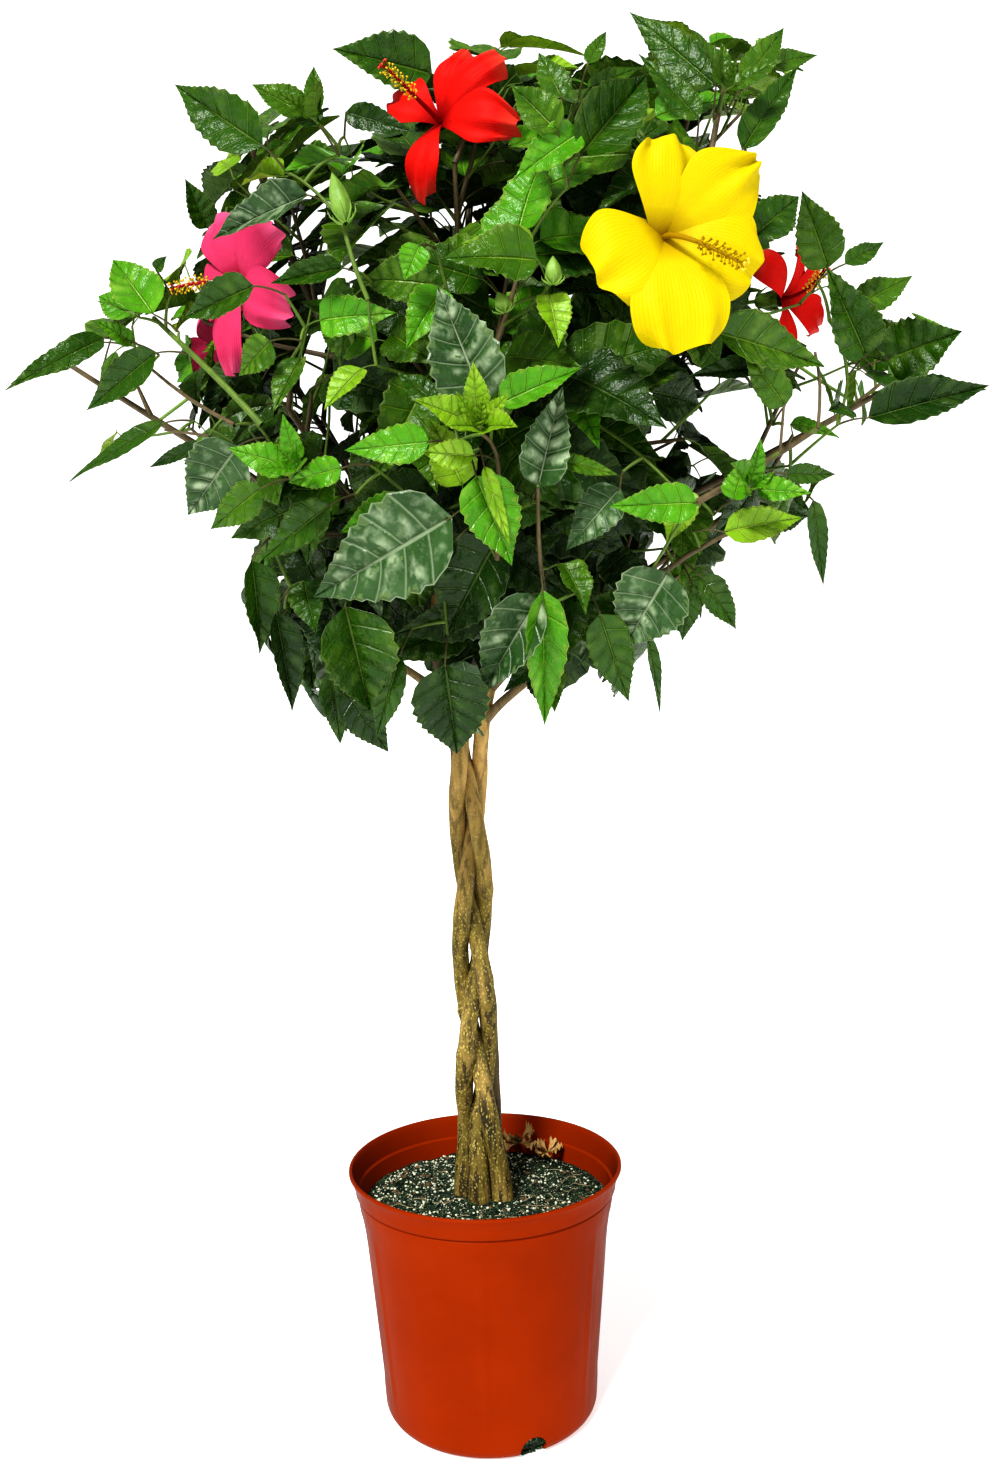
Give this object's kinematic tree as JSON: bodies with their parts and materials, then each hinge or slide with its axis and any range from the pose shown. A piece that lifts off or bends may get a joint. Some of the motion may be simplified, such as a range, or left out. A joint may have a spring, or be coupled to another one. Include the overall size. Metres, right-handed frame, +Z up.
{
  "type": "potted hibiscus shrub",
  "caption": "Hibiscus grown as a small standard tree: a plaited trunk, a round leafy crown with large open blooms, and a tapered plastic nursery pot filled with soil.",
  "frame": {"origin": "centre of the pot's flat underside, on the surface it stands on", "axes": "+Z up along the trunk, +X to the viewer's right in the picture, -Y towards the viewer"},
  "size_m": [0.9247, 0.7409, 1.3266],
  "materials": {
    "pot_plastic": "satin",
    "potting_soil": "matte",
    "bark": "matte",
    "green_wood": "matte",
    "leaves": "satin"
  },
  "bodies": {
    "root": {"pot": "pot_plastic", "soil": "potting_soil", "stem_1": "bark", "stem_2": "bark", "stem_3": "bark", "stem_4": "bark", "bough_front": "green_wood", "bough_right_front": "green_wood", "bough_left_front": "green_wood", "bough_front_low": "green_wood", "bough_right": "green_wood", "bough_left": "green_wood", "bough_right_low": "green_wood", "bough_right_under": "green_wood", "bough_left_low": "green_wood", "bough_top_left": "green_wood", "bough_top": "green_wood", "bough_top_right": "green_wood", "bough_back_left": "green_wood", "bough_back": "green_wood", "bough_back_right": "green_wood", "bough_back_top": "green_wood", "bough_middle": "green_wood", "bough_back_low_left": "green_wood", "bough_back_low_right": "green_wood", "foliage_front": "leaves", "foliage_right_front": "leaves", "foliage_left_front": "leaves", "foliage_front_low": "leaves", "foliage_right": "leaves", "foliage_left": "leaves", "foliage_right_low": "leaves", "foliage_right_under": "leaves", "foliage_left_low": "leaves", "foliage_top_left": "leaves", "foliage_top": "leaves", "foliage_top_right": "leaves", "foliage_back_left": "leaves", "foliage_back": "leaves", "foliage_back_right": "leaves", "foliage_back_top": "leaves", "foliage_middle": "leaves", "foliage_back_low_left": "leaves", "foliage_back_low_right": "leaves"}
  },
  "joints": []
}
